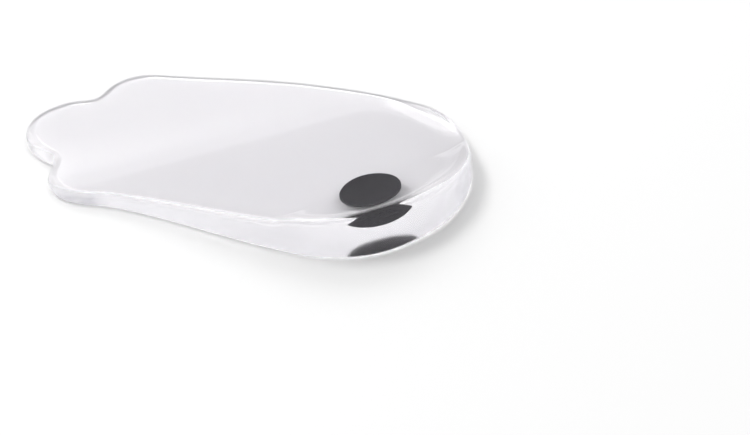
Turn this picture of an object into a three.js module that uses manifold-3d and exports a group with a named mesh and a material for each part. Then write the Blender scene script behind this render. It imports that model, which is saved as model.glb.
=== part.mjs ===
// A clear silicone heel cushion with a wedge on its inner side, a shallow cupped heel,
// a toe end in three round lobes, and a black disc magnet moulded in under the heel.
// Millimetres, +Z up. The heel points along +X and the thick side of the wedge along -Y.
// The origin is at the middle of the flat underside.

import * as THREE from 'three';
import { mergeVertices } from 'three/addons/utils/BufferGeometryUtils.js';
import Module from 'manifold-3d';

// Driving dimensions of the pad
const padLength = 112.8;
const heelWidth = 58;
const toeWidth = 49;
const sheetThickness = 3;
const wedgeRise = 6.4;
const heelSlope = 0.25;

// Widths of the edges: the moulded underside edge, the rim of the wedge, the back of the heel, the
// toe lobes and the far side. The toe's fullness is 1 for a quarter round, 2 for a straight bevel.
const baseRound = 1;
const rimRound = 1.4;
const heelRound = 2.2;
const toeRound = 2.8;
const farRound = 3;
const toeFullness = 1.4;
const notchRound = 1.2;
const beadRise = 0.35;
const beadWidth = 3.2;

// Cupped lip round the heel. On the thick side it fills the corner beyond a straight line.
const nearLipRise = 1.2;
const farLipRise = 1.6;
const farLipWidth = 6.5;

// Magnet, the clearance round it in its pocket, and the hole left by the pin that held it in the mould
const magnetDiameter = 12.8;
const magnetThickness = 2;
const magnetEdge = 0.25;
const magnetFloor = 4.2;
const magnetFromBack = 17;
const magnetFromNearSide = 15.3;
const magnetGap = 0.3;
const pinHoleDiameter = 2;
const pinHoleOverrun = 1;

// Stations round the outline, seen from above and taken from the toe's tip along the near side.
// Along is a share of the pad's length from its middle, across a share of half the heel's or the
// toe's width from the centre line, and the headings in degrees say which way the edge arrives
// and leaves.
const outlineStations = [
  { name: 'middle lobe tip', along: -0.5, across: 0.12, end: 'toe', arrive: 270, leave: 270 },
  { name: 'middle lobe near shoulder', along: -0.44, across: -0.325, end: 'toe', arrive: 324, leave: 324 },
  { name: 'near notch', along: -0.365, across: -0.475, end: 'toe', arrive: 345, leave: 286 },
  { name: 'near lobe tip', along: -0.338, across: -0.776, end: 'toe', arrive: 315, leave: 315 },
  { name: 'near lobe side', along: -0.25, across: -0.942, end: 'toe', arrive: 0, leave: 0 },
  { name: 'near waist', along: -0.163, across: -0.934, end: 'toe', arrive: -4, leave: -4 },
  { name: 'near heel side', along: 0.252, across: -1.01, end: 'heel', arrive: -4, leave: -4 },
  { name: 'near heel corner', along: 0.418, across: -0.82, end: 'heel', arrive: 41, leave: 41 },
  { name: 'heel back', along: 0.5, across: -0.18, end: 'heel', arrive: 90, leave: 90 },
  { name: 'far heel', along: 0.415, across: 0.575, end: 'heel', arrive: 135, leave: 135 },
  { name: 'far side', along: 0.07, across: 0.965, end: 'heel', arrive: 177, leave: 177 },
  { name: 'far lobe side', along: -0.293, across: 1.07, end: 'toe', arrive: 182, leave: 182 },
  { name: 'far lobe tip', along: -0.383, across: 0.84, end: 'toe', arrive: 247, leave: 247 },
  { name: 'far notch', along: -0.392, across: 0.557, end: 'toe', arrive: 262, leave: 200 },
  { name: 'middle lobe far shoulder', along: -0.462, across: 0.43, end: 'toe', arrive: 222, leave: 222 },
];

// The crease where the flat sheet meets the wedge runs from the toe to a bend and on round the heel,
// as shares of the length and of half the heel's width
const creaseToe = { along: -0.18, across: -0.54 };
const creaseBend = { along: 0.246, across: 0.63 };
const creaseHeel = { along: 0.433, across: 0.405 };
const creaseSoftness = 0.4;

// The straight line across the heel's corner where the lip of the thick side begins
const lipLineSide = { along: 0.236, across: -0.845 };
const lipLineBack = { along: 0.44, across: 0.172 };

// Where the far lip, the bead, the toe edge and the heel's back edge begin and reach full size, as
// shares of the length, and where the far side's edge turns into the near one, as shares of the width
const farLipSpan = { from: 0.22, to: 0.42 };
const beadSpan = { from: -0.3, to: -0.1 };
const toeEdgeSpan = { from: -0.22, to: -0.36 };
const heelEdgeSpan = { from: 0.44, to: 0.49 };
const edgeTurnSpan = { from: 0.25, to: 0.75 };

// Fineness of the mesh, how far in its rings follow the edge at the heel and at the toe, the least
// upright wall as a share of the height, and the distance at which points are joined
const outlineCount = 180;
const roundSteps = 5;
const lipSteps = 5;
const spineSteps = 6;
const spineShare = 0.8;
const edgeInset = 6.5;
const toeEdgeInset = 3.6;
const leastWall = 0.1;
const magnetSides = 64;
const pinSides = 16;
const joinDistance = 1e-4;

const clamp01 = (value) => THREE.MathUtils.clamp(value, 0, 1);
const smooth01 = (value) => THREE.MathUtils.smoothstep(value, 0, 1);
const mix = THREE.MathUtils.lerp;
const place = (row, width) => new THREE.Vector2(row.along * padLength, row.across * width / 2);
const heading = (degrees) => {
  const angle = THREE.MathUtils.degToRad(degrees);
  return new THREE.Vector2(Math.cos(angle), Math.sin(angle));
};

// One smooth stretch of the edge between two stations, close to a circular arc
function edgeCurve(from, to) {
  const start = place(from, from.end === 'heel' ? heelWidth : toeWidth);
  const end = place(to, to.end === 'heel' ? heelWidth : toeWidth);
  const turn = THREE.MathUtils.degToRad((to.arrive - from.leave + 540) % 360 - 180);
  const share = Math.abs(turn) < 0.01 ? 1 / 3 : (2 / 3) * Math.tan(turn / 4) / Math.sin(turn / 2);
  const reach = start.distanceTo(end) * share;
  const leaving = start.clone().addScaledVector(heading(from.leave), reach);
  const arriving = end.clone().addScaledVector(heading(to.arrive), -reach);
  return new THREE.CubicBezierCurve(start, leaving, arriving, end);
}

// Evenly spaced points round the whole edge, with the notches and joins softened, centred on the origin
function makeOutline() {
  const path = new THREE.CurvePath();
  outlineStations.forEach((station, index) => {
    path.add(edgeCurve(station, outlineStations[(index + 1) % outlineStations.length]));
  });
  let points = path.getSpacedPoints(outlineCount).slice(0, outlineCount);
  const spacing = path.getLength() / outlineCount;
  const passes = Math.max(1, Math.round(2 * (notchRound / spacing) ** 2));
  for (let pass = 0; pass < passes; pass += 1) {
    points = points.map((point, index) => {
      const before = points[(index + outlineCount - 1) % outlineCount];
      const after = points[(index + 1) % outlineCount];
      return point.clone().multiplyScalar(2).add(before).add(after).multiplyScalar(0.25);
    });
  }
  const middle = new THREE.Box2().setFromPoints(points).getCenter(new THREE.Vector2());
  return points.map((point) => point.sub(middle));
}

const outline = makeOutline();

// Direction into the pad at each point of the edge
const inward = outline.map((point, index) => {
  const before = outline[(index + outlineCount - 1) % outlineCount];
  const after = outline[(index + 1) % outlineCount];
  const along = after.clone().sub(before).normalize();
  return new THREE.Vector2(-along.y, along.x);
});

// Distance from a point inside the pad to its edge
function distanceToEdge(point) {
  let least = Infinity;
  outline.forEach((start, index) => {
    const end = outline[(index + 1) % outlineCount];
    const side = end.clone().sub(start);
    const share = clamp01(point.clone().sub(start).dot(side) / side.lengthSq());
    least = Math.min(least, point.distanceTo(start.clone().addScaledVector(side, share)));
  });
  return least;
}

// How far a point lies on the thick side of a straight crease between two places
function creaseDistance(point, from, to) {
  const start = place(from, heelWidth);
  const along = place(to, heelWidth).sub(start).normalize();
  const offset = point.clone().sub(start);
  return offset.x * along.y - offset.y * along.x;
}
const farthestWedge = Math.max(...outline.map((point) => creaseDistance(point, creaseToe, creaseBend)));

// The larger of two heights, with the line where they meet softened
function softMax(first, second) {
  return first + creaseSoftness * Math.log1p(Math.exp((second - first) / creaseSoftness));
}

// Rise of the wedge over the flat sheet: the lower of the two slopes that start at the crease
function wedgeHeight(point) {
  const main = wedgeRise * creaseDistance(point, creaseToe, creaseBend) / farthestWedge;
  const heel = heelSlope * creaseDistance(point, creaseBend, creaseHeel);
  return softMax(0, -softMax(-main, -heel));
}

// How much a point belongs to the thick side: 0 at the far side, 1 at the near side
const nearness = (point) => clamp01(0.5 - point.y / heelWidth);
function span(limits, point) {
  return smooth01((point.x / padLength - limits.from) / (limits.to - limits.from));
}

// Share of a rise that is full at the edge and ends softly this far inside it
const edgeShare = (inset, width) => 0.5 + 0.5 * Math.cos(Math.PI * clamp01(inset / width));

// Height of the top surface over a point that lies a given distance inside the edge
function topHeight(point, inset) {
  const side = nearness(point);
  const beyondLine = softMax(0, creaseDistance(point, lipLineSide, lipLineBack));
  const nearLip = nearLipRise * beyondLine / (beyondLine + inset);
  const farLip = farLipRise * (1 - side) * span(farLipSpan, point) * edgeShare(inset, farLipWidth);
  const bead = beadRise * side * span(beadSpan, point) * edgeShare(inset, beadWidth);
  return sheetThickness + wedgeHeight(point) + nearLip + farLip + bead;
}

// Share of the near side's edge at a point of the outline, 0 at the far side
function edgeTurn(point) {
  return smooth01((nearness(point) - edgeTurnSpan.from) / (edgeTurnSpan.to - edgeTurnSpan.from));
}

// Width of the rounded top edge at a point of the outline
function roundWidth(point) {
  const near = mix(mix(rimRound, toeRound, span(toeEdgeSpan, point)), heelRound, span(heelEdgeSpan, point));
  const far = mix(farRound, rimRound, span(farLipSpan, point));
  return mix(far, near, edgeTurn(point));
}

// Power that bends the quarter round towards a bevel at the toe
const roundPower = (point) => mix(1, toeFullness, span(toeEdgeSpan, point) * edgeTurn(point));

// Rings of points, from the underside up the wall, over the rim and in to a spine along the middle.
// The points are taken from the toe's tip, so that point k on one side faces point -k on the other,
// and each such pair shares its spine point.
function makeRings() {
  const insetPoint = (index, inset) => outline[index].clone().addScaledVector(inward[index], inset);
  const ring = (position) => outline.map((_, index) => position(index));
  const rings = [];

  for (let step = 0; step <= roundSteps; step += 1) {
    const angle = (Math.PI / 2) * (step / roundSteps);
    rings.push(ring((index) => {
      const flat = insetPoint(index, baseRound * (1 - Math.sin(angle)));
      return new THREE.Vector3(flat.x, flat.y, baseRound * (1 - Math.cos(angle)));
    }));
  }

  const roundAt = (index) => roundWidth(outline[index]);
  for (let step = 0; step <= roundSteps; step += 1) {
    const angle = (Math.PI / 2) * (step / roundSteps);
    rings.push(ring((index) => {
      const width = roundAt(index);
      const power = roundPower(outline[index]);
      const crest = topHeight(insetPoint(index, width), width);
      const drop = Math.min(width, (1 - leastWall) * (crest - baseRound));
      const across = Math.max(0, Math.cos(angle)) ** power;
      const flat = insetPoint(index, width * (1 - across));
      return new THREE.Vector3(flat.x, flat.y, crest - drop * (1 - Math.sin(angle) ** power));
    }));
  }

  const lastInset = (index) => mix(edgeInset, toeEdgeInset, span(toeEdgeSpan, outline[index]));
  for (let step = 1; step <= lipSteps; step += 1) {
    rings.push(ring((index) => {
      const inset = mix(roundAt(index), lastInset(index), step / lipSteps);
      const flat = insetPoint(index, inset);
      return new THREE.Vector3(flat.x, flat.y, topHeight(flat, inset));
    }));
  }

  const spinePoint = (index) => {
    const facing = (outlineCount - index) % outlineCount;
    const middle = outline[index].clone().add(outline[facing]).multiplyScalar(0.5);
    middle.x *= spineShare;
    return middle;
  };
  for (let step = 1; step <= spineSteps; step += 1) {
    rings.push(ring((index) => {
      const flat = insetPoint(index, lastInset(index)).lerp(spinePoint(index), step / spineSteps);
      return new THREE.Vector3(flat.x, flat.y, topHeight(flat, distanceToEdge(flat)));
    }));
  }
  return rings;
}

// Skins the rings into one closed mesh with a flat underside
function skinRings(rings) {
  const positions = rings.flat().flatMap((point) => point.toArray());
  const triangles = [];
  for (let level = 0; level + 1 < rings.length; level += 1) {
    for (let index = 0; index < outlineCount; index += 1) {
      const next = (index + 1) % outlineCount;
      const low = level * outlineCount;
      const high = low + outlineCount;
      triangles.push(low + index, low + next, high + next);
      triangles.push(low + index, high + next, high + index);
    }
  }
  const underside = rings[0].map((point) => new THREE.Vector2(point.x, point.y));
  THREE.ShapeUtils.triangulateShape(underside, []).forEach(([first, second, third]) => {
    triangles.push(first, third, second);
  });
  const geometry = new THREE.BufferGeometry();
  geometry.setAttribute('position', new THREE.Float32BufferAttribute(positions, 3));
  geometry.setIndex(triangles);
  return geometry;
}

const wasm = await Module();
wasm.setup();

function toSolid(geometry) {
  const bare = geometry.clone();
  bare.deleteAttribute('normal');
  bare.deleteAttribute('uv');
  const merged = mergeVertices(bare, joinDistance);
  return new wasm.Manifold(new wasm.Mesh({
    numProp: 3,
    vertProperties: new Float32Array(merged.attributes.position.array),
    triVerts: new Uint32Array(merged.index.array),
  }));
}

function toGeometry(solid) {
  const mesh = solid.getMesh();
  const geometry = new THREE.BufferGeometry();
  geometry.setAttribute('position', new THREE.BufferAttribute(mesh.vertProperties, 3));
  geometry.setIndex(new THREE.BufferAttribute(mesh.triVerts, 1));
  geometry.computeVertexNormals();
  return geometry;
}

// An upright cylinder that stands on the given height
function uprightCylinder(diameter, bottom, height, sides) {
  const geometry = new THREE.CylinderGeometry(diameter / 2, diameter / 2, height, sides);
  geometry.rotateX(Math.PI / 2);
  geometry.translate(0, 0, bottom + height / 2);
  return geometry;
}

// The magnet's centre line
const magnetX = padLength / 2 - magnetFromBack;
const magnetY = -heelWidth / 2 + magnetFromNearSide;

// The clear pad, with the pocket that the magnet sits in and the pin hole up to it
function makeGelBody() {
  const pocketDiameter = magnetDiameter + 2 * magnetGap;
  const pocketFloor = magnetFloor - magnetGap;
  const pocketHeight = magnetThickness + 2 * magnetGap;
  const pocket = uprightCylinder(pocketDiameter, pocketFloor, pocketHeight, magnetSides);
  const pinHoleHeight = pocketFloor + 2 * pinHoleOverrun;
  const pinHole = uprightCylinder(pinHoleDiameter, -pinHoleOverrun, pinHoleHeight, pinSides);
  pocket.translate(magnetX, magnetY, 0);
  pinHole.translate(magnetX, magnetY, 0);
  const solid = toSolid(skinRings(makeRings())).subtract(toSolid(pocket)).subtract(toSolid(pinHole));

  const clearSilicone = new THREE.MeshStandardMaterial({ color: 0xe4e3ea, roughness: 0.12, metalness: 0 });
  clearSilicone.transparent = true;
  clearSilicone.opacity = 0.45;
  const mesh = new THREE.Mesh(toGeometry(solid), clearSilicone);
  mesh.name = 'gel_body';
  return mesh;
}

// The sintered ferrite disc, with a small broken edge
function makeMagnetDisc() {
  const radius = magnetDiameter / 2;
  const profile = [
    new THREE.Vector2(0, 0),
    new THREE.Vector2(radius - magnetEdge, 0),
    new THREE.Vector2(radius, magnetEdge),
    new THREE.Vector2(radius, magnetThickness - magnetEdge),
    new THREE.Vector2(radius - magnetEdge, magnetThickness),
    new THREE.Vector2(0, magnetThickness),
  ];
  const geometry = new THREE.LatheGeometry(profile, magnetSides);
  geometry.rotateX(Math.PI / 2);

  const ferrite = new THREE.MeshStandardMaterial({ color: 0x34323a, roughness: 0.55, metalness: 0.1 });
  const mesh = new THREE.Mesh(geometry, ferrite);
  mesh.name = 'magnet_disc';
  mesh.position.set(magnetX, magnetY, magnetFloor);
  return mesh;
}

const heelPad = new THREE.Group();
heelPad.name = 'heel_pad';
heelPad.add(makeGelBody(), makeMagnetDisc());

export default heelPad;
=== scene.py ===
# Clear silicone heel pad with a disc magnet moulded in, lying on a white table
import math

import bmesh
import bpy
from mathutils import Matrix, Vector


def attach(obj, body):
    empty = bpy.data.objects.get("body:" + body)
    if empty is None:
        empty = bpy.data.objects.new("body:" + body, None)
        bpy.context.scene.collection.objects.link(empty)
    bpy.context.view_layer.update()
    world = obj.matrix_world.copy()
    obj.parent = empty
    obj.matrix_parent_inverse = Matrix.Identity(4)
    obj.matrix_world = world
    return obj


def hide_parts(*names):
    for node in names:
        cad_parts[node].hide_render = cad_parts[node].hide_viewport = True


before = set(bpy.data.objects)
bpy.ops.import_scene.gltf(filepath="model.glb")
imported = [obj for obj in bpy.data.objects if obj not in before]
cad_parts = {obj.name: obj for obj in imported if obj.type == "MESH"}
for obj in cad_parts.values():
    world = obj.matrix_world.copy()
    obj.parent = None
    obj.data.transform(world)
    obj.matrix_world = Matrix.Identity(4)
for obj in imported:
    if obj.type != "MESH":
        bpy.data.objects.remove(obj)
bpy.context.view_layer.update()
print("frame loaded")

mm = 0.001
fullTurn = 360
halfTurn = 180

# What a user would change on the pad, in millimetres
padSettings = {
    "length": 112.8,
    "heelWidth": 58.0,
    "toeWidth": 49.0,
    "sheetThickness": 3.0,  # the flat sheet at the toe and the far side
    "wedgeRise": 6.4,  # how much higher the thick side is
    "heelSlope": 0.25,  # steepness of the wedge behind the crease's bend
    "creaseSoftness": 0.4,
    "baseRound": 1.0,  # underside edge
    "rimRound": 1.4,  # top edge of the wedge
    "heelRound": 2.2,  # softer top edge at the heel's back
    "toeRound": 2.8,  # softer top edge of the toe lobes
    "farRound": 3.0,  # wide soft edge of the far side
    "toeFullness": 1.4,  # 1 is a quarter round, 2 a straight bevel
    "notchRound": 1.2,
    "beadRise": 0.35,  # thin bead along the rim
    "beadWidth": 3.2,
    "nearLipRise": 1.2,  # cupped lip round the heel
    "farLipRise": 1.6,
    "farLipWidth": 6.5,
}

# Shape of the outline as shares: along the length, and across half the heel's or the toe's width.
# The edge runs in at each station with this heading in degrees, and a notch has its own way out
outlineStations = [
    {"name": "middle lobe tip", "along": -0.5, "across": 0.12, "end": "toe", "heading": 270},
    {"name": "middle lobe near side", "along": -0.44, "across": -0.325, "end": "toe", "heading": 324},
    {"name": "near notch", "along": -0.365, "across": -0.475, "end": "toe", "heading": 345, "out": 286},
    {"name": "near lobe tip", "along": -0.338, "across": -0.776, "end": "toe", "heading": 315},
    {"name": "near lobe side", "along": -0.25, "across": -0.942, "end": "toe", "heading": 0},
    {"name": "near waist", "along": -0.163, "across": -0.934, "end": "toe", "heading": -4},
    {"name": "near heel side", "along": 0.252, "across": -1.01, "end": "heel", "heading": -4},
    {"name": "near heel corner", "along": 0.418, "across": -0.82, "end": "heel", "heading": 41},
    {"name": "heel back", "along": 0.5, "across": -0.18, "end": "heel", "heading": 90},
    {"name": "far heel", "along": 0.415, "across": 0.575, "end": "heel", "heading": 135},
    {"name": "far side", "along": 0.07, "across": 0.965, "end": "heel", "heading": 177},
    {"name": "far lobe side", "along": -0.293, "across": 1.07, "end": "toe", "heading": 182},
    {"name": "far lobe tip", "along": -0.383, "across": 0.84, "end": "toe", "heading": 247},
    {"name": "far notch", "along": -0.392, "across": 0.557, "end": "toe", "heading": 262, "out": 200},
    {"name": "middle lobe far side", "along": -0.462, "across": 0.43, "end": "toe", "heading": 222},
]

# Points of the crease between flat sheet and wedge, and of the line where the heel's lip begins,
# as shares along the length and across half the heel's width
linePlaces = {
    "creaseToe": (-0.18, -0.54),
    "creaseBend": (0.246, 0.63),
    "creaseHeel": (0.433, 0.405),
    "lipSide": (0.236, -0.845),
    "lipBack": (0.44, 0.172),
}

# Where each feature of the edge begins and where it is full, as shares along the length
blendSpans = {
    "farLip": (0.22, 0.42),
    "bead": (-0.3, -0.1),
    "toeEdge": (-0.22, -0.36),
    "heelEdge": (0.44, 0.49),
}

# Where the far side's edge turns into the near side's, as shares of the way to the near side
edgeTurnSpan = (0.25, 0.75)

# How fine the mesh is, and how far in its rings follow the edge, in millimetres
meshSettings = {
    "curveSteps": 60,  # between two stations, before the even spacing
    "outlineCount": 400,
    "roundSteps": 8,
    "lipSteps": 10,
    "spineSteps": 30,
    "spineShare": 0.8,  # length of the line where the rings end, against the pad's
    "edgeInset": 6.5,
    "toeEdgeInset": 3.6,
    "leastWall": 0.1,  # share of the wall's height that no rounding takes
}


def clamp01(value):
    return max(0.0, min(1.0, value))


def smooth01(value):
    share = clamp01(value)
    return share * share * (3.0 - 2.0 * share)


def mix(first, second, share):
    return first + (second - first) * share


def headingVector(degrees):
    angle = math.radians(degrees)
    return Vector((math.cos(angle), math.sin(angle)))


def placePoint(along, across, end="heel"):
    # a point given in shares of the pad's sizes
    return Vector((along * padSettings["length"], across * padSettings[end + "Width"] / 2))


straightTurn = 0.01  # radians: a stretch that turns less counts as straight


def curvePoints(start, end, count):
    # one stretch of the edge, close to a circular arc
    first = placePoint(start["along"], start["across"], start["end"])
    last = placePoint(end["along"], end["across"], end["end"])
    heading = start.get("out", start["heading"])
    turn = math.radians((end["heading"] - heading + halfTurn) % fullTurn - halfTurn)
    if abs(turn) < straightTurn:
        share = 1 / 3
    else:
        share = (2 / 3) * math.tan(turn / 4) / math.sin(turn / 2)
    reach = (last - first).length * share
    leaving = first + headingVector(heading) * reach
    arriving = last - headingVector(end["heading"]) * reach
    points = []
    for step in range(count):
        t = step / count
        u = 1 - t
        points.append(first * u**3 + leaving * (3 * u * u * t) + arriving * (3 * u * t * t) + last * t**3)
    return points


def makeOutline(count):
    # evenly spaced points round the edge, notches softened, centred on the origin
    fine = []
    for index, station in enumerate(outlineStations):
        following = outlineStations[(index + 1) % len(outlineStations)]
        fine += curvePoints(station, following, meshSettings["curveSteps"])
    fine.append(fine[0])
    lengths = [0.0]
    for before, after in zip(fine, fine[1:]):
        lengths.append(lengths[-1] + (after - before).length)
    spacing = lengths[-1] / count
    points = []
    at = 0
    for index in range(count):
        wanted = index * spacing
        while lengths[at + 1] < wanted:
            at += 1
        share = (wanted - lengths[at]) / (lengths[at + 1] - lengths[at])
        points.append(fine[at].lerp(fine[at + 1], share))
    passes = max(1, round(2 * (padSettings["notchRound"] / spacing) ** 2))
    for _ in range(passes):
        points = [
            (points[index - 1] + 2 * points[index] + points[(index + 1) % count]) / 4
            for index in range(count)
        ]
    xs = [point.x for point in points]
    ys = [point.y for point in points]
    middle = Vector(((min(xs) + max(xs)) / 2, (min(ys) + max(ys)) / 2))
    return [point - middle for point in points]


outline = makeOutline(meshSettings["outlineCount"])


def inwardDirections():
    count = len(outline)
    directions = []
    for index in range(count):
        along = (outline[(index + 1) % count] - outline[index - 1]).normalized()
        directions.append(Vector((-along.y, along.x)))
    return directions


inward = inwardDirections()


def insetPoint(index, inset):
    return outline[index] + inward[index] * inset


def distanceToEdge(point):
    least = math.inf
    for index, start in enumerate(outline):
        side = outline[(index + 1) % len(outline)] - start
        share = clamp01((point - start).dot(side) / side.length_squared)
        least = min(least, (point - start - side * share).length)
    return least


def lineDistance(point, fromName, toName):
    # how far a point lies on the near side of a straight line
    start = placePoint(*linePlaces[fromName])
    along = (placePoint(*linePlaces[toName]) - start).normalized()
    offset = point - start
    return offset.x * along.y - offset.y * along.x


farthestWedge = max(lineDistance(point, "creaseToe", "creaseBend") for point in outline)


def softMax(first, second):
    # the larger of two heights, with a soft crease where they meet
    softness = padSettings["creaseSoftness"]
    return first + softness * math.log1p(math.exp((second - first) / softness))


def wedgeHeight(point):
    main = padSettings["wedgeRise"] * lineDistance(point, "creaseToe", "creaseBend") / farthestWedge
    heel = padSettings["heelSlope"] * lineDistance(point, "creaseBend", "creaseHeel")
    return softMax(0.0, -softMax(-main, -heel))


def nearness(point):
    # 0 at the far side, 1 at the near side
    return clamp01(0.5 - point.y / padSettings["heelWidth"])


def spanShare(name, point):
    # 0 before a feature begins, 1 where it is full
    begin, full = blendSpans[name]
    return smooth01((point.x / padSettings["length"] - begin) / (full - begin))


def edgeShare(inset, width):
    # 1 at the edge, 0 at this width inside it
    return 0.5 + 0.5 * math.cos(math.pi * clamp01(inset / width))


def topHeight(point, inset):
    # height of the pad's top over a point that lies this far inside the edge
    near = nearness(point)
    beyondLine = softMax(0.0, lineDistance(point, "lipSide", "lipBack"))
    nearLip = padSettings["nearLipRise"] * beyondLine / (beyondLine + inset)
    farLip = padSettings["farLipRise"] * (1 - near) * spanShare("farLip", point)
    farLip *= edgeShare(inset, padSettings["farLipWidth"])
    bead = padSettings["beadRise"] * near * spanShare("bead", point)
    bead *= edgeShare(inset, padSettings["beadWidth"])
    return padSettings["sheetThickness"] + wedgeHeight(point) + nearLip + farLip + bead


def edgeTurn(point):
    # share of the near side's edge at a point of the outline, 0 at the far side
    begin, full = edgeTurnSpan
    return smooth01((nearness(point) - begin) / (full - begin))


def roundWidth(point):
    # width of the rounded top edge at a point of the outline
    near = mix(padSettings["rimRound"], padSettings["toeRound"], spanShare("toeEdge", point))
    near = mix(near, padSettings["heelRound"], spanShare("heelEdge", point))
    far = mix(padSettings["farRound"], padSettings["rimRound"], spanShare("farLip", point))
    return mix(far, near, edgeTurn(point))


def roundPower(point):
    # bends the quarter round towards a bevel at the toe
    return mix(1.0, padSettings["toeFullness"], spanShare("toeEdge", point) * edgeTurn(point))


def quarterAngle(step):
    return math.pi / 2 * step / meshSettings["roundSteps"]


def makeBaseRing(step):
    # from the flat underside up into the wall
    base = padSettings["baseRound"]
    inset = base * (1 - math.sin(quarterAngle(step)))
    height = base * (1 - math.cos(quarterAngle(step)))
    return [(*insetPoint(index, inset), height) for index in range(len(outline))]


def makeRings():
    # rings of points: underside, up the wall, over the rim, across the lip and in to the spine
    count = len(outline)
    rings = [makeBaseRing(step) for step in range(meshSettings["roundSteps"] + 1)]

    widths = [roundWidth(point) for point in outline]
    powers = [roundPower(point) for point in outline]
    crests = [topHeight(insetPoint(index, widths[index]), widths[index]) for index in range(count)]
    for step in range(meshSettings["roundSteps"] + 1):
        angle = quarterAngle(step)
        ring = []
        for index, width in enumerate(widths):
            drop = min(width, (1 - meshSettings["leastWall"]) * (crests[index] - padSettings["baseRound"]))
            across = max(0.0, math.cos(angle)) ** powers[index]
            point = insetPoint(index, width * (1 - across))
            ring.append((*point, crests[index] - drop * (1 - math.sin(angle) ** powers[index])))
        rings.append(ring)

    lastInsets = [
        mix(meshSettings["edgeInset"], meshSettings["toeEdgeInset"], spanShare("toeEdge", point))
        for point in outline
    ]
    for step in range(1, meshSettings["lipSteps"] + 1):
        ring = []
        for index, width in enumerate(widths):
            inset = mix(width, lastInsets[index], step / meshSettings["lipSteps"])
            point = insetPoint(index, inset)
            ring.append((*point, topHeight(point, inset)))
        rings.append(ring)

    for step in range(1, meshSettings["spineSteps"] + 1):
        ring = []
        for index in range(count):
            middle = (outline[index] + outline[-index]) / 2
            middle.x *= meshSettings["spineShare"]
            start = insetPoint(index, lastInsets[index])
            point = start.lerp(middle, step / meshSettings["spineSteps"])
            ring.append((*point, topHeight(point, distanceToEdge(point))))
        rings.append(ring)
    return rings


def linearColour(hexText):
    # sRGB hex to the linear colour that the shader takes
    channels = [int(hexText[place:place + 2], 16) / 255 for place in (1, 3, 5)]
    linear = [c / 12.92 if c <= 0.04045 else ((c + 0.055) / 1.055) ** 2.4 for c in channels]
    return (*linear, 1.0)


def addNode(tree, kind, settings=None, links=None):
    # adds a node, sets its fields and sockets, and links its inputs
    node = tree.nodes.new(kind)
    for name, value in (settings or {}).items():
        if name in node.inputs:
            node.inputs[name].default_value = value
        else:
            setattr(node, name, value)
    for name, output in (links or {}).items():
        tree.links.new(output, node.inputs[name])
    return node


def newMaterial(name):
    material = bpy.data.materials.new(name)
    material.use_nodes = True
    material.node_tree.nodes.clear()
    return material, material.node_tree


# Clear moulded silicone, with the ripple's size and depth in millimetres
siliconeSettings = {
    "surfaceTint": "#FEFDFF",
    "depthTint": "#C0C0CA",
    "depthDensity": 4.0,
    "roughness": 0.1,
    "refraction": 1.41,
    "rippleSize": 14.0,
    "rippleDepth": 0.4,
    "rippleStrength": 0.05,
}


def makeClearSilicone():
    # moulded in a polished tool: glossy, a breath of lavender in its depth, faint ripple
    settings = siliconeSettings
    material, tree = newMaterial("clearMouldedSilicone")
    place = addNode(tree, "ShaderNodeTexCoord")
    ripple = addNode(
        tree, "ShaderNodeTexNoise",
        {"Scale": 1 / (settings["rippleSize"] * mm), "Detail": 2.0, "Roughness": 0.4},
        {"Vector": place.outputs["Object"]},
    )
    bump = addNode(
        tree, "ShaderNodeBump",
        {"Strength": settings["rippleStrength"], "Distance": settings["rippleDepth"] * mm},
        {"Height": ripple.outputs["Fac"]},
    )
    surface = addNode(
        tree, "ShaderNodeBsdfPrincipled",
        {
            "Base Color": linearColour(settings["surfaceTint"]),
            "Transmission Weight": 1.0,
            "Roughness": settings["roughness"],
            "IOR": settings["refraction"],
        },
        {"Normal": bump.outputs["Normal"]},
    )
    depth = addNode(
        tree, "ShaderNodeVolumeAbsorption",
        {"Color": linearColour(settings["depthTint"]), "Density": settings["depthDensity"]},
    )
    addNode(
        tree, "ShaderNodeOutputMaterial", {},
        {"Surface": surface.outputs["BSDF"], "Volume": depth.outputs["Volume"]},
    )
    return material


# Sintered ferrite, with the grain's size and depth in millimetres. The real grain is too fine
# to see, and is drawn coarse enough to show
ferriteSettings = {
    "darkGrain": "#272629",
    "lightGrain": "#3C3A40",
    "roughness": 0.55,
    "sheen": 0.1,
    "grainSize": 0.6,
    "grainDepth": 0.05,
    "grainStrength": 0.25,
}


def makeFerrite():
    # pressed and sintered ferrite: near-black charcoal, dull, with a fine grain
    settings = ferriteSettings
    material, tree = newMaterial("sinteredFerrite")
    place = addNode(tree, "ShaderNodeTexCoord")
    grain = addNode(
        tree, "ShaderNodeTexNoise",
        {"Scale": 1 / (settings["grainSize"] * mm), "Detail": 4.0, "Roughness": 0.6},
        {"Vector": place.outputs["Object"]},
    )
    tones = addNode(tree, "ShaderNodeValToRGB", {}, {"Fac": grain.outputs["Fac"]})
    tones.color_ramp.elements[0].color = linearColour(settings["darkGrain"])
    tones.color_ramp.elements[1].color = linearColour(settings["lightGrain"])
    bump = addNode(
        tree, "ShaderNodeBump",
        {"Strength": settings["grainStrength"], "Distance": settings["grainDepth"] * mm},
        {"Height": grain.outputs["Fac"]},
    )
    surface = addNode(
        tree, "ShaderNodeBsdfPrincipled",
        {
            "Roughness": settings["roughness"],
            "Metallic": 0.0,
            "Specular IOR Level": settings["sheen"],
        },
        {"Base Color": tones.outputs["Color"], "Normal": bump.outputs["Normal"]},
    )
    addNode(tree, "ShaderNodeOutputMaterial", {}, {"Surface": surface.outputs["BSDF"]})
    return material


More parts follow.
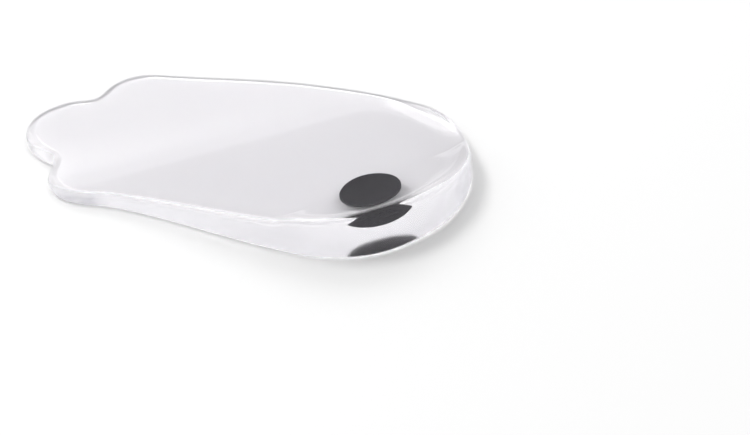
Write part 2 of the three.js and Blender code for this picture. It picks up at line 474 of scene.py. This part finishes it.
def makePaintedBoard(settings):
    # painted board of the stage: matte, with hardly any sheen
    material, tree = newMaterial(settings["material"])
    surface = addNode(
        tree, "ShaderNodeBsdfPrincipled",
        {
            "Base Color": linearColour(settings["colour"]),
            "Roughness": settings["roughness"],
            "Specular IOR Level": settings["sheen"],
        },
    )
    addNode(tree, "ShaderNodeOutputMaterial", {}, {"Surface": surface.outputs["BSDF"]})
    return material


def addObject(name, data):
    thing = bpy.data.objects.new(name, data)
    bpy.context.scene.collection.objects.link(thing)
    return thing


def addStagePlane(name, corners, settings):
    # one flat face of the stage, with its own finish
    mesh = bpy.data.meshes.new(name)
    mesh.from_pydata(corners, [], [(0, 1, 2, 3)])
    mesh.materials.append(makePaintedBoard(settings))
    plane = addObject(name, mesh)
    return plane


def makeGelPad(material):
    rings = makeRings()
    count = len(outline)
    form = bmesh.new()
    levels = [[form.verts.new(Vector(point) * mm) for point in ring] for ring in rings[:-1]]
    spine = [form.verts.new(Vector(rings[-1][index]) * mm) for index in range(count // 2 + 1)]
    levels.append([spine[min(index, count - index)] for index in range(count)])
    for lower, upper in zip(levels, levels[1:]):
        for index in range(count):
            following = (index + 1) % count
            corners = [lower[index], lower[following], upper[following], upper[index]]
            form.faces.new(list(dict.fromkeys(corners)))
    form.faces.new(list(reversed(levels[0])))
    mesh = bpy.data.meshes.new("gelPad")
    form.to_mesh(mesh)
    form.free()
    mesh.shade_smooth()
    mesh.materials.append(material)
    pad = addObject("gelPad", mesh)
    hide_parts("gel_body")
    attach(pad, "root")


makeGelPad(makeClearSilicone())
print("gel pad made")

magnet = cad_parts["magnet_disc"]
magnet.data.materials.clear()
magnet.data.materials.append(makeFerrite())
print("magnet dressed")


def sideVector(turn, height):
    # direction to what stands at this compass angle from the far side, this many degrees high
    angle = math.radians(turn)
    rise = math.radians(height)
    return Vector((
        -math.sin(angle) * math.cos(rise),
        math.cos(angle) * math.cos(rise),
        math.sin(rise),
    ))


# White table, with its half size in metres and its gap under the pad in millimetres
tableSettings = {
    "material": "whiteTable",
    "colour": "#D1D1D1",
    "roughness": 0.7,
    "sheen": 0.2,
    "halfSize": 3.0,
    "gap": 0.02,
}


def makeTable():
    half = tableSettings["halfSize"]
    level = -tableSettings["gap"] * mm
    corners = [(-half, -half, level), (half, -half, level), (half, half, level), (-half, half, level)]
    addStagePlane("table", corners, tableSettings)


# Grey card on the far side: compass angle, distance and width in metres, and the angles over
# the table between which it stands
cardSettings = {
    "material": "greyCard",
    "colour": "#8C8C8C",
    "roughness": 0.8,
    "sheen": 0.1,
    "turn": 27.0,
    "distance": 0.8,
    "heights": (4.0, 28.0),
    "width": 1.3,
}


def makeCard():
    # it is there in reflections only, where it draws the wedge and the lip on the gel's top
    settings = cardSettings
    bottom, top = (
        settings["distance"] * math.tan(math.radians(height)) for height in settings["heights"]
    )
    half = settings["width"] / 2
    corners = [(-half, 0, bottom), (half, 0, bottom), (half, 0, top), (-half, 0, top)]
    card = addStagePlane("greyCard", corners, settings)
    card.location = sideVector(settings["turn"], 0) * settings["distance"]
    card.rotation_euler = (0, 0, math.radians(settings["turn"]))
    for ray in ("camera", "diffuse", "transmission", "shadow"):
        setattr(card, "visible_" + ray, False)


# Studio lights: where each stands by compass angle from the far side, height angle and distance
# in metres, its width and height in metres, and its power in watts. The gel's top mirrors the far
# panel, but the panel isn't seen through the gel, where it would burn out the walls
lightSettings = [
    {
        "name": "farPanel", "turn": 27.0, "height": 45.0, "distance": 1.2,
        "size": (1.2, 0.5), "power": 4.4, "throughGel": False,
    },
    {
        "name": "rimBox", "turn": 90.0, "height": 61.0, "distance": 1.0,
        "size": (0.35, 0.3), "power": 4.4, "throughGel": True,
    },
]


def makeLight(settings):
    outward = sideVector(settings["turn"], settings["height"])
    data = bpy.data.lights.new(settings["name"], "AREA")
    data.shape = "RECTANGLE"
    data.size, data.size_y = settings["size"]
    data.energy = settings["power"]
    light = addObject(settings["name"], data)
    light.location = outward * settings["distance"]
    light.rotation_euler = outward.to_track_quat("Z", "Y").to_euler()
    light.visible_transmission = settings["throughGel"]


# Plain white studio all round
worldSettings = {"colour": "#FAFAFA", "strength": 1.1}


def makeWorld():
    world = bpy.data.worlds.new("studio")
    bpy.context.scene.world = world
    world.use_nodes = True
    tree = world.node_tree
    tree.nodes.clear()
    colour = linearColour(worldSettings["colour"])
    sky = addNode(
        tree, "ShaderNodeBackground",
        {"Color": colour, "Strength": worldSettings["strength"]},
    )
    addNode(tree, "ShaderNodeOutputWorld", {}, {"Surface": sky.outputs["Background"]})


makeTable()
makeWorld()
makeCard()
for lightRow in lightSettings:
    makeLight(lightRow)
print("table and lights set")


# Photo's view: the lens aims at this point of the table, from this side, height and distance,
# with places and lens sizes in millimetres and angles in degrees
cameraSettings = {
    "aim": (39.36, -13.88, 0.0),
    "azimuth": 27.08,
    "elevation": 38.27,
    "roll": -10.34,
    "distance": 264.4,
    "lens": 61.5,
    "sensor": 36.0,
    "nearest": 10.0,
}


def makeCamera():
    settings = cameraSettings
    back = sideVector(settings["azimuth"] + halfTurn, settings["elevation"])
    data = bpy.data.cameras.new("photoCamera")
    data.lens = settings["lens"]
    data.sensor_width = settings["sensor"]
    data.clip_start = settings["nearest"] * mm
    camera = addObject("photoCamera", data)
    turn = back.to_track_quat("Z", "Y").to_matrix().to_4x4()
    roll = Matrix.Rotation(math.radians(settings["roll"]), 4, "Z")
    place = Vector(settings["aim"]) * mm + back * settings["distance"] * mm
    camera.matrix_world = Matrix.Translation(place) @ turn @ roll
    bpy.context.scene.camera = camera


makeCamera()
bpy.context.scene.view_settings.view_transform = "Standard"
print("camera set")

# Light bounces many times inside a clear gel, so its paths are long and stay sharp
lightPaths = {
    "max_bounces": 64,
    "diffuse_bounces": 4,
    "glossy_bounces": 64,
    "transmission_bounces": 64,
    "blur_glossy": 0.0,
}
for pathSetting, pathValue in lightPaths.items():
    setattr(bpy.context.scene.cycles, pathSetting, pathValue)

bpy.context.view_layer.update()
